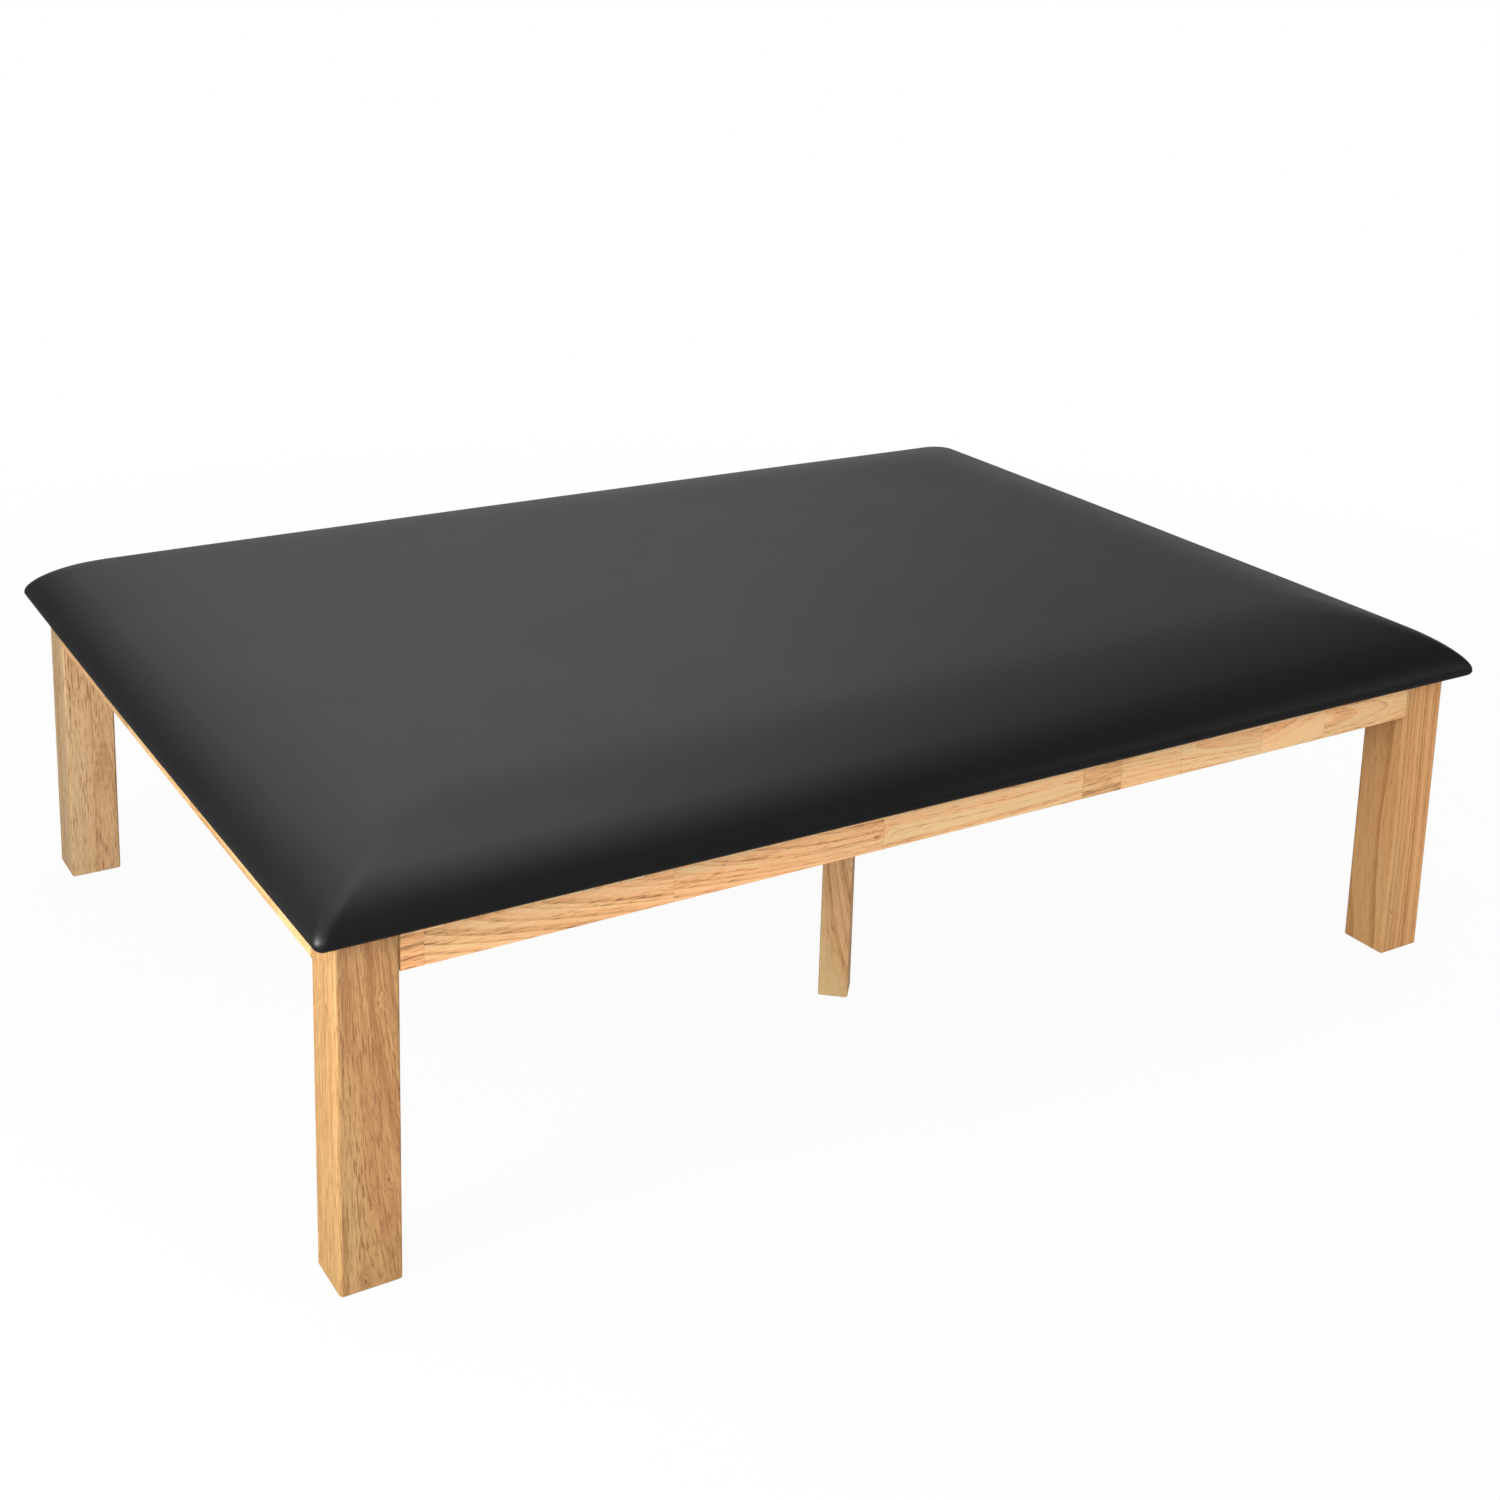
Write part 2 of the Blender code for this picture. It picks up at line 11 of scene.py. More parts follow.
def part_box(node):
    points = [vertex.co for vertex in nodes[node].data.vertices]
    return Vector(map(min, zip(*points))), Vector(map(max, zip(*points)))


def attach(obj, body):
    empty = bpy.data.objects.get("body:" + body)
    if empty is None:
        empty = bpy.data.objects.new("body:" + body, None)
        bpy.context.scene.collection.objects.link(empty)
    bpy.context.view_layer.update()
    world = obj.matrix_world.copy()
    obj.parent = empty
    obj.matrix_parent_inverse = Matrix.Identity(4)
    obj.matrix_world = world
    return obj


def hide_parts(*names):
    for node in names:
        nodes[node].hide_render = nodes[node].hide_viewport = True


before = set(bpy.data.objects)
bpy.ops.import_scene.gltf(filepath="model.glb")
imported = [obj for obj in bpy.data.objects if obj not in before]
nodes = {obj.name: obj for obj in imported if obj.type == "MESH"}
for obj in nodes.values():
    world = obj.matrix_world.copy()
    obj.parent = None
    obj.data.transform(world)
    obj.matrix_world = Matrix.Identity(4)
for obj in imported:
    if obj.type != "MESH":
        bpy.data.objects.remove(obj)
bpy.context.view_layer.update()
frameHalf = Vector((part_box("right_rail")[1][0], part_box("back_rail")[1][1]))
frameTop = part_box("front_rail")[1][2]
corners = (("front_left", -1, -1), ("front_right", 1, -1), ("back_right", 1, 1), ("back_left", -1, 1))
print("frame loaded:", len(nodes), "nodes")


# Small classes that let shader and geometry maths read as Python
class Wire:  # one output socket; the operators add Math nodes
    def __init__(self, graph, socket):
        self.graph = graph
        self.socket = socket

    def maths(self, operation, *values):
        return self.graph.node("ShaderNodeMath", {"operation": operation}, dict(enumerate(values)))

    def __add__(self, other):
        return self.maths("ADD", self, other)

    def __sub__(self, other):
        return self.maths("SUBTRACT", self, other)

    def __rsub__(self, other):
        return self.maths("SUBTRACT", other, self)

    def __mul__(self, other):
        return self.maths("MULTIPLY", self, other)

    def __truediv__(self, other):
        return self.maths("DIVIDE", self, other)

    def __pow__(self, other):
        return self.maths("POWER", self, other)

    def __gt__(self, other):
        return self.maths("GREATER_THAN", self, other)

    def __abs__(self):
        return self.maths("ABSOLUTE", self)

    __radd__ = __add__
    __rmul__ = __mul__


class Graph:  # a node tree that is filled from Python
    def __init__(self, tree):
        self.tree = tree

    def node(self, kind, settings=None, inputs=None, out=0):
        made = self.tree.nodes.new(kind)
        for key, value in (settings or {}).items():
            if key == "stops":
                self.setStops(made.color_ramp, value)
            else:
                setattr(made, key, value)
        for key, value in (inputs or {}).items():
            if isinstance(value, (Wire, list)):  # a list of wires for a socket that takes several
                for wire in value if isinstance(value, list) else [value]:
                    self.tree.links.new(wire.socket, made.inputs[key])
            else:
                made.inputs[key].default_value = value
        return Wire(self, made.outputs[out]) if len(made.outputs) else None

    def setStops(self, ramp, stops):
        while len(ramp.elements) < len(stops):
            ramp.elements.new(1)
        for element, (place, colour) in zip(ramp.elements, stops):
            element.position = place
            element.color = (*colour, 1)

    def smoothStep(self, value, low, high):
        settings = {"interpolation_type": "SMOOTHSTEP"}
        return self.node("ShaderNodeMapRange", settings, {0: value, 1: low, 2: high})

    def vector(self, x, y, z):
        return self.node("ShaderNodeCombineXYZ", None, {0: x, 1: y, 2: z})

    def parts(self, vector):
        first = self.node("ShaderNodeSeparateXYZ", None, {0: vector})
        return [Wire(self, socket) for socket in first.socket.node.outputs]

    def vectorMath(self, operation, *values, out=0):
        settings = {"operation": operation}
        return self.node("ShaderNodeVectorMath", settings, dict(enumerate(values)), out)

    def objectPlace(self):  # where a point lies in its object
        return self.node("ShaderNodeTexCoord", None, None, out=3)

    def noise(self, vector, scale, detail=2, rough=0.5):
        values = {"Vector": vector, "Scale": scale, "Detail": detail, "Roughness": rough}
        return self.node("ShaderNodeTexNoise", None, values)

    def mixColour(self, factor, first, second, blend="MIX"):
        settings = {"data_type": "RGBA", "blend_type": blend, "clamp_factor": True}
        return self.node("ShaderNodeMix", settings, {0: factor, 6: first, 7: second}, out=2)


def newMaterial(name):
    material = bpy.data.materials.new(name)
    material.use_nodes = True
    material.node_tree.nodes.clear()
    return material, Graph(material.node_tree)


def surface(graph, values, height, bumpDistance, bumpStrength):
    bump = {"Height": height, "Distance": bumpDistance, "Strength": bumpStrength}
    values["Normal"] = graph.node("ShaderNodeBump", None, bump)
    shader = graph.node("ShaderNodeBsdfPrincipled", None, values)
    graph.node("ShaderNodeOutputMaterial", None, {"Surface": shader})


def linear(red, green, blue):  # screen values from 0 to 255 as linear light
    def one(level):
        level /= 255
        return level / 12.92 if level <= 0.04045 else ((level + 0.055) / 1.055) ** 2.4

    return one(red), one(green), one(blue)


def addObject(name, data):
    made = bpy.data.objects.new(name, data)
    bpy.context.scene.collection.objects.link(made)
    return made


# Camera: the photograph's place and lens
view = {
    "place": (-1.8828, -3.1005, 1.8312),
    "right": (0.85427, -0.51912, 0.02707),
    "down": (-0.09319, -0.20416, -0.97449),
    "ahead": (0.51141, 0.82996, -0.22278),
    "lens": 50.866,
    "sensor": 36,
    "shiftY": -0.25,
    "farthest": 200,
}
cameraData = bpy.data.cameras.new("camera")
cameraData.lens = view["lens"]
cameraData.sensor_width = view["sensor"]
cameraData.shift_y = view["shiftY"]
cameraData.clip_end = view["farthest"]
camera = addObject("camera", cameraData)
axes = [Vector(view["right"]), -Vector(view["down"]), -Vector(view["ahead"])]
camera.matrix_world = Matrix.Translation(view["place"]) @ Matrix(axes).transposed().to_4x4()
bpy.context.scene.camera = camera
bpy.context.scene.view_settings.view_transform = "Standard"

# Studio: a pale floor, a white surround, and soft lamps at the left, in front and overhead
studio = {
    "ambient": 0.60,
    "horizon": 1.3,
    "horizonLobe": (50, 2),
    "horizonFade": (0.02, 0.16),
    "glossFades": [(0.15, 0.30), (0.30, 0.50), (0.50, 0.80)],
    "glossLobes": [  # azimuth, tightness, and strength in four bands from the horizon up
        (55, 12, (0, 0.58, 0.22, 0)),
        (90, 12, (0, 0.17, 1.5, 0)),
        (150, 2, (0, 0, 0, 0.43)),
        (60, 2, (0, 0, 0, 0.62)),
        (235, 6, (0.10, 0.50, 0.50, 0)),
    ],
    "floorSize": 160,
    "floorGrey": 0.7,
    "floorGlow": 0.95,
    "floorGloss": 0.2,
    "shadowFade": (1.6, 3.6),
}
lamps = {
    "leftLow": {"place": (-2.9, -1.0, 1.2), "aim": (-1.0, -1.6, 0.4), "size": (0.9, 0.9), "power": 70},
    "leftFront": {"place": (-3.6, -3.4, 2.6), "aim": (-0.4, -0.4, 0.4), "size": (1.8, 1.8), "power": 33},
    "front": {
        "place": (1.4, -4.4, 2.2),
        "aim": (0.6, 0, 0.4),
        "size": (3.0, 2.4),
        "power": 34,
        "mirrored": False,  # or the lower edge of the cushion's roll would shine
    },
    "rightFront": {"place": (4.2, -3.6, 2.4), "aim": (0.3, 0, 0.4), "size": (2.4, 2.0), "power": 12},
    "overhead": {"place": (0.2, 0.4, 4.6), "aim": (0, 0, 0.6), "size": (3.0, 2.4), "power": 43},
    "backHigh": {"place": (1.6, 4.2, 3.8), "aim": (0, 0, 0.6), "size": (3.0, 2.4), "power": 11.5},
}


def seenDirectly(graph):  # 1 for rays from the camera and for those that metal and gloss send on
    rays = graph.node("ShaderNodeLightPath").socket.node.outputs
    names = ("Is Camera Ray", "Is Glossy Ray", "Is Transmission Ray")
    fromCamera, glossy, transmitted = (Wire(graph, rays[name]) for name in names)
    return fromCamera, glossy.maths("MAXIMUM", glossy, transmitted)


def buildSurround():
    world = bpy.data.worlds.new("studio")
    bpy.context.scene.world = world
    world.use_nodes = True
    world.node_tree.nodes.clear()
    graph = Graph(world.node_tree)
    seen, reflected = seenDirectly(graph)
    aside, ahead, height = graph.parts(graph.node("ShaderNodeTexCoord"))
    level = (aside * aside + ahead * ahead) ** 0.5 + 0.0001
    above = [graph.smoothStep(height, *fade) for fade in studio["glossFades"]]
    bands = [1 - above[0], above[0] - above[1], above[1] - above[2], above[2]]

    def lobe(azimuth, tightness):
        turn = math.radians(azimuth)
        facing = (aside * math.cos(turn) + ahead * math.sin(turn)) / level
        return facing.maths("MAXIMUM", facing, 0) ** tightness

    low = 1 - graph.smoothStep(height, *studio["horizonFade"])
    gloss = lobe(*studio["horizonLobe"]) * low * studio["horizon"]
    for azimuth, tightness, strengths in studio["glossLobes"]:
        facing = lobe(azimuth, tightness)
        for band, power in zip(bands, strengths):
            if power:
                gloss = facing * band * power + gloss
    strength = seen + reflected * gloss + (1 - seen) * (1 - reflected) * studio["ambient"]
    glow = graph.node("ShaderNodeBackground", None, {"Color": (1, 1, 1, 1), "Strength": strength})
    graph.node("ShaderNodeOutputWorld", None, {"Surface": glow})


def buildFloor():  # white to the camera, but for the object's soft shadow near the middle
    shape = bmesh.new()
    bmesh.ops.create_grid(shape, x_segments=1, y_segments=1, size=studio["floorSize"] / 2)
    mesh = bpy.data.meshes.new("floor")
    shape.to_mesh(mesh)
    shape.free()
    floor = addObject("floor", mesh)
    material, graph = newMaterial("paleFloor")
    grey = studio["floorGrey"]
    matt = graph.node("ShaderNodeBsdfDiffuse", None, {"Color": (grey, grey, grey, 1)})
    seen, reflected = seenDirectly(graph)
    strength = seen + reflected * studio["floorGloss"]
    white = graph.node("ShaderNodeEmission", None, {"Color": (1, 1, 1, 1), "Strength": strength})
    outwards = graph.vectorMath("LENGTH", graph.objectPlace(), out=1)
    near = 1 - graph.smoothStep(outwards, *studio["shadowFade"])
    share = seen * (1 - near * (1 - studio["floorGlow"])) + reflected
    both = graph.node("ShaderNodeMixShader", None, {0: share, 1: matt, 2: white})
    graph.node("ShaderNodeOutputMaterial", None, {"Surface": both})
    mesh.materials.append(material)


def buildLamps():
    for name, lamp in lamps.items():
        light = bpy.data.lights.new(name, "AREA")
        light.shape = "RECTANGLE"
        light.size, light.size_y = lamp["size"]
        light.energy = lamp["power"]
        holder = addObject(name, light)
        holder.visible_glossy = lamp.get("mirrored", True)
        away = Vector(lamp["place"]) - Vector(lamp["aim"])
        turn = away.to_track_quat("Z", "Y").to_matrix().to_4x4()
        holder.matrix_world = Matrix.Translation(lamp["place"]) @ turn


buildSurround()
buildFloor()
buildLamps()
print("studio and camera ready")


# Wood: every piece is sawn from its own boards, so each has its own figure
wood = {
    "dark": linear(166, 113, 66),
    "brown": linear(200, 148, 95),
    "tan": linear(222, 171, 118),
    "pale": linear(238, 193, 142),
    "glueLine": linear(120, 82, 48),
    "mark": linear(96, 58, 32),
    "cool": (0.92, 0.965, 0.90),
    "warm": (1.05, 0.97, 0.88),
    "bandsPerMetre": 150,
    "bandStrength": 0.34,
    "ringLine": 0.16,
    "streakStrength": 0.46,
    "dashStrength": 0.40,
    "poreStrength": 0.20,
    "blotchStrength": 0.46,
    "base": 0.74,
    "lean": 0,
    "heart": None,  # where the middle of the tree lies, across the face and into it
    "seamWave": 0,
    "glueWidth": 0.0005,
    "glueShade": 0.55,
    "roughness": 0.46,
    "coat": 0.18,
    "coatRoughness": 0.32,
    "relief": 0.00012,
    "reliefStrength": 0.6,
}

# How rings, fibres and knots lie in any board
growth = {
    "mostBlocks": 9,  # in one stave
    "seamCells": 9,
    "seamWidth": 0.8,  # as a share of a glue line's
    "seamShade": 0.7,
    "blockShift": (3.17, 5.31, 1.73),
    "wanderCells": (7, 7, 2.1),
    "wanderAcross": 0.03,
    "wanderInwards": 0.012,
    "heartSpread": 0.12,
    "heartDepths": (0.012, 0.10),  # in the most flat-sawn block, and what the least one adds
    "heartTilt": 0.5,
    "leanFade": (-0.04, 0.03),
    "ringShift": 31.7,
    "bandScale": 0.7,
    "seasons": 0.8,
    "unevenSeasons": 2.2,
    "lateWood": (0.35, 0.95, 1.0),
    "knotStretch": 0.5,
    "knotReach": 5,
    "knotCore": 0.35,
    "swirlDrift": 1.5,
    "fibreShift": 0.61,
    "fibreRough": 0.6,
    "fibres": {  # cells in a metre across and along the grain, detail, and a fade for spots
        "streaks": (400, 8, 3),
        "clusters": (42, 5, 1, 0.35, 0.65),
        "dashes": (500, 34, 2, 0.50, 0.64),
        "pores": (900, 60, 2, 0.52, 0.68),
        "blotch": (26, 2.6, 2),
        "hue": (13, 1.7, 1, 0.35, 0.65),
    },
    "dashesBetween": 0.4,  # their strength away from clusters
    "shadePlaces": (0.0, 0.33, 0.62, 1.0),
    "heights": {"streaks": 0.5, "dashes": 0.5, "pores": 0.7, "glue": 0.8},
    "roughnesses": {"streaks": 0.14, "pores": 0.12},
}


def pieceFrame(along, across):  # a turn whose Z runs along the grain and X across the face
    along, across = Vector(along), Vector(across)
    return Matrix((across, along.cross(across), along)).transposed().to_euler()


def chosen(blocks, column, place):  # adds up what changes at each joint along the grain
    total = blocks[0][column]
    for before, block in zip(blocks, blocks[1:]):
        total = (place > block[0]) * (block[column] - before[column]) + total
    return total


def blockOf(graph, staves, across, along, glueWidth):  # its tone, how flat-sawn, its number, its glue
    found = []
    for index, stave in enumerate(staves):
        blocks = [(*block, index * growth["mostBlocks"] + 1 + i) for i, block in enumerate(stave["blocks"])]
        glue = 0
        for at, *_ in blocks[1:]:
            line = 1 - graph.smoothStep(abs(along - at), 0, glueWidth)
            glue = line.maths("MAXIMUM", line, glue)
        values = [*[chosen(blocks, column, along) for column in (1, 2, 3)], glue]
        if index == 0:
            found = values
            continue
        inside = across > stave["from"]
        width = glueWidth * stave.get("seamWidth", growth["seamWidth"])
        seam = 1 - graph.smoothStep(abs(across - stave["from"]), 0, width)
        found = [inside * (new - old) + old for new, old in zip(values, found)]
        found[3] = seam.maths("MAXIMUM", seam * growth["seamShade"], found[3])
    return found


def knotsIn(graph, knots, local):  # how far they push the grain aside, and how dark they are
    swirl = darkness = 0
    for mark in knots:
        offset = graph.vectorMath("SUBTRACT", local, mark["at"])
        squeezed = graph.vectorMath("MULTIPLY", offset, (1, 1, growth["knotStretch"]))
        apart = graph.vectorMath("LENGTH", squeezed, out=1)
        radius = mark["radius"]
        near = 1 - graph.smoothStep(apart, 0, radius * growth["knotReach"])
        swirl = near * (radius * mark["swirl"]) + swirl
        core = 1 - graph.smoothStep(apart, radius * growth["knotCore"], radius)
        darkness = core.maths("MAXIMUM", core * mark["depth"], darkness)
    return swirl, darkness


def ringsAt(graph, place):  # their uneven bands, and the dark line where each season ends
    values = {"W": place, "Scale": growth["bandScale"], "Detail": 2.0, "Roughness": 0.6}
    bands = graph.node("ShaderNodeTexNoise", {"noise_dimensions": "1D"}, values)
    season = place * growth["seasons"] + bands * growth["unevenSeasons"]
    season = season.maths("FRACT", season)
    start, full, end = growth["lateWood"]
    line = graph.smoothStep(season, start, full) * (1 - graph.smoothStep(season, full, end))
    return bands - 0.5, line


def woodMaterial(name, centre, turn, staves, knots, figure):
    material, graph = newMaterial(name)
    g = growth
    values = {"Vector": graph.objectPlace(), "Location": centre, "Rotation": turn}
    local = graph.node("ShaderNodeMapping", {"vector_type": "TEXTURE"}, values)
    across, depth, along = graph.parts(local)
    seamPlace = across
    if figure["seamWave"]:
        wave = graph.noise(graph.vector(0, 0, along * g["seamCells"]), 1, detail=3) - 0.5
        seamPlace = wave * figure["seamWave"] + across
    tone, flatness, serial, glue = blockOf(graph, staves, seamPlace, along, figure["glueWidth"])
    chance = graph.node("ShaderNodeTexWhiteNoise", {"noise_dimensions": "1D"}, {"W": serial}, out=1)
    chanceAcross, _, chanceTilt = graph.parts(chance)

    # Grain shifted from block to block, with a slow wander
    shift = graph.vector(*[serial * step for step in g["blockShift"]])
    wander = graph.noise(graph.vectorMath("MULTIPLY_ADD", local, g["wanderCells"], shift), 1) - 0.5
    swirl, darkness = knotsIn(graph, knots, local)

    # Rings about the middle of the tree
    heartAcross = (chanceAcross - 0.5) * g["heartSpread"]
    tilt = (chanceTilt - 0.5) * g["heartTilt"] * flatness
    shallow, deeper = g["heartDepths"]
    heartDepth = (1 - flatness) * deeper + shallow + along * tilt
    if figure["heart"]:
        heartAcross, heartDepth = figure["heart"]
    if figure["lean"]:  # the grain leans over towards one edge, as in a board sawn near a branch
        across = graph.smoothStep(across, *g["leanFade"]) * along * figure["lean"] + across
    sideways = across - heartAcross + wander * g["wanderAcross"] + swirl
    inwards = depth - heartDepth
    ring = (sideways * sideways + inwards * inwards) ** 0.5 + swirl + wander * g["wanderInwards"]
    bands, ringLine = ringsAt(graph, ring * figure["bandsPerMetre"] + serial * g["ringShift"])

    # Fibres follow the ring's wander
    drift = wander * g["wanderInwards"] + swirl * g["swirlDrift"]
    fibreAcross, fibreDepth = across + drift + serial * g["fibreShift"], depth + drift

    def fibres(kind):
        crosswise, lengthwise, detail, *fade = g["fibres"][kind]
        place = graph.vector(fibreAcross * crosswise, fibreDepth * crosswise, along * lengthwise + serial)
        value = graph.noise(place, 1, detail=detail, rough=g["fibreRough"])
        return graph.smoothStep(value, *fade) if fade else value - 0.5

    between = g["dashesBetween"]
    streaks, pores, blotch = fibres("streaks"), fibres("pores"), fibres("blotch")
    dashes = fibres("dashes") * (fibres("clusters") * (1 - between) + between)
    level = tone + bands * figure["bandStrength"] + streaks * figure["streakStrength"]
    level = level + blotch * figure["blotchStrength"] - pores * figure["poreStrength"]
    level = level - dashes * figure["dashStrength"] - ringLine * figure["ringLine"] + figure["base"]
    shades = [figure[shade] for shade in ("dark", "brown", "tan", "pale")]
    stops = list(zip(g["shadePlaces"], shades))
    colour = graph.node("ShaderNodeValToRGB", {"stops": stops}, {0: level})
    tint = graph.mixColour(fibres("hue"), (*figure["cool"], 1), (*figure["warm"], 1))
    colour = graph.mixColour(1.0, colour, tint, "MULTIPLY")
    heights, rough = g["heights"], g["roughnesses"]
    height = streaks * heights["streaks"] - dashes * heights["dashes"] - pores * heights["pores"]
    if isinstance(glue, Wire):
        colour = graph.mixColour(glue * figure["glueShade"], colour, (*figure["glueLine"], 1))
        height = height - glue * heights["glue"]
    if isinstance(darkness, Wire):
        colour = graph.mixColour(darkness, colour, (*figure["mark"], 1))
    finish = {
        "Base Color": colour,
        "Roughness": streaks * rough["streaks"] + pores * rough["pores"] + figure["roughness"],
        "Coat Weight": figure["coat"],
        "Coat Roughness": figure["coatRoughness"],
        "IOR": 1.45,
    }
    surface(graph, finish, height, figure["relief"], figure["reliefStrength"])
    return material


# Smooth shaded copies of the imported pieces, with rounded edges that catch the light as one sweep
def dress(name, material, body, sharpAngle=50, weld=0.000002):
    shape = bmesh.new()
    shape.from_mesh(nodes[name].data)
    bmesh.ops.remove_doubles(shape, verts=shape.verts, dist=weld)
    bmesh.ops.recalc_face_normals(shape, faces=shape.faces)
    mesh = bpy.data.meshes.new(name + "Dressed")
    shape.to_mesh(mesh)
    shape.free()
    mesh.materials.append(material)
    for face in mesh.polygons:
        face.material_index = 0
    mesh.shade_smooth()
    mesh.set_sharp_from_angle(angle=math.radians(sharpAngle))
    piece = addObject(name + "Dressed", mesh)
    weighted = piece.modifiers.new("even shading", "WEIGHTED_NORMAL")
    weighted.keep_sharp = True
    weighted.weight = 100
    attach(piece, body)
    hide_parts(name)


def middleOf(name):
    low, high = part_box(name)
    return tuple((a + b) / 2 for a, b in zip(low, high))


# The front rail's two staves: where each block starts, its tone and how flat-sawn it is
frontRailStaves = [
    {
        "blocks": [
            (0, -0.30, 0.3),
            (-0.903, -0.10, 0.6),
            (-0.530, -0.12, 0.7),
            (-0.175, 0.08, 0.4),
            (0.206, -0.16, 0.95),
            (0.285, 0.14, 0.5),
            (0.412, 0.10, 0.4),
            (0.590, 0.10, 0.3),
            (0.735, 0.02, 0.4),
        ]
    },
    {
        "from": 0.0145,
        "blocks": [
            (0, -0.20, 0.2),
            (-0.916, -0.04, 0.9),
            (-0.546, 0.05, 0.5),
            (-0.120, 0.00, 0.3),
            (0.190, 0.12, 0.8),
            (0.395, 0.20, 0.4),
            (0.575, 0.10, 0.6),
            (0.721, -0.02, 0.3),
        ],
    },
]


# All the other staves are cut by chance
sawing = {
    "blockLength": (0.26, 0.46),
    "firstShare": (0.3, 1),
    "shortest": 0.08,
    "tone": (-0.13, 0.13),
    "flatness": (0.1, 0.9),
}


def sawnStaves(seed, length, edges):
    draw = random.Random(seed)

    def block(place):
        return place, draw.uniform(*sawing["tone"]), draw.uniform(*sawing["flatness"])

    staves = []
    for edge in [None, *edges]:
        blocks = [block(0)]
        place = -length / 2 + draw.uniform(*sawing["firstShare"]) * sawing["blockLength"][0]
        while place < length / 2 - sawing["shortest"]:
            blocks.append(block(place))
            place += draw.uniform(*sawing["blockLength"])
        staves.append({"from": edge, "blocks": blocks})
    return staves


# How the figure of some pieces differs from the rest
oliveTint = {"cool": (0.87, 1.0, 0.97), "warm": (1.0, 1.01, 1.0)}
habits = {
    "leg_front_left": {
        **oliveTint,
        "lean": 0.12,
        "ringLine": 0.12,
        "bandStrength": 0.55,
        "streakStrength": 0.56,
        "dashStrength": 0.52,
        "base": 0.40,
    },
    "leg_front_right": {
        "cool": (0.95, 0.955, 0.88),
        "warm": (1.06, 0.96, 0.80),
        "heart": (0.24, 0.06),
        "bandsPerMetre": 120,
        "ringLine": 0.34,
        "bandStrength": 0.9,
        "dashStrength": 0.20,
        "base": 0.70,
    },
    "leg_back_left": {
        "cool": (0.81, 0.98, 1.12),
        "warm": (0.92, 1.03, 1.22),
        "seamWave": 0.012,
        "bandsPerMetre": 120,
        "bandStrength": 0.5,
        "dashStrength": 0.66,
        "poreStrength": 0.34,
        "base": 0.72,
    },
    "mid_leg_front": {
        **oliveTint,
        "warm": (1.0, 1.03, 1.06),
        "lean": 0.16,
        "bandsPerMetre": 200,
        "ringLine": 0.36,
        "bandStrength": 1.1,
        "base": 0.88,
    },
    "front_rail": {
        "brown": linear(226, 166, 112),
        "tan": linear(252, 193, 138),
        "pale": linear(255, 214, 163),
        "ringLine": 0.40,
        "bandStrength": 0.42,
        "base": 0.92,
    },
}


def knotAt(place, radius, swirl, depth):
    return {"at": place, "radius": radius, "swirl": swirl, "depth": depth}


def knotsByPiece():  # places across the face, into it and along the grain, from each piece's middle
    legX, _, legZ = middleOf("leg_front_left")
    railZ = middleOf("front_rail")[2]
    face = -0.0445  # half a leg, outwards
    return {
        "leg_front_left": [
            knotAt((-0.9568 - legX, face, 0.1549 - legZ), 0.0022, 2.0, 0.5),
            knotAt((-0.9895 - legX, face, 0.013 - legZ), 0.003, 2.0, 0.6),
            knotAt((face, 0.0329, 0.0163 - legZ), 0.0022, 0.3, 0.9),
            knotAt((-0.9675 - legX, face, 0.415 - legZ), 0.0026, 1.6, 0.4),
        ],
        "leg_front_right": [
            knotAt((-0.0285, face, 0.078 - legZ), 0.0018, 0.6, 0.85),
            knotAt((face, -0.0295, 0.326 - legZ), 0.0016, 0.5, 0.6),
        ],
        "front_rail": [knotAt((0.475 - railZ, 0.016, -0.1866), 0.004, 1.8, 0.5)],
    }


def dressWood(name, along, across, staves, knots, body="table"):
    figure = {**wood, **habits.get(name, {})}
    turn = pieceFrame(along, across)
    finish = woodMaterial(name + "Wood", middleOf(name), turn, staves, knots.get(name, ()), figure)
    dress(name, finish, body)


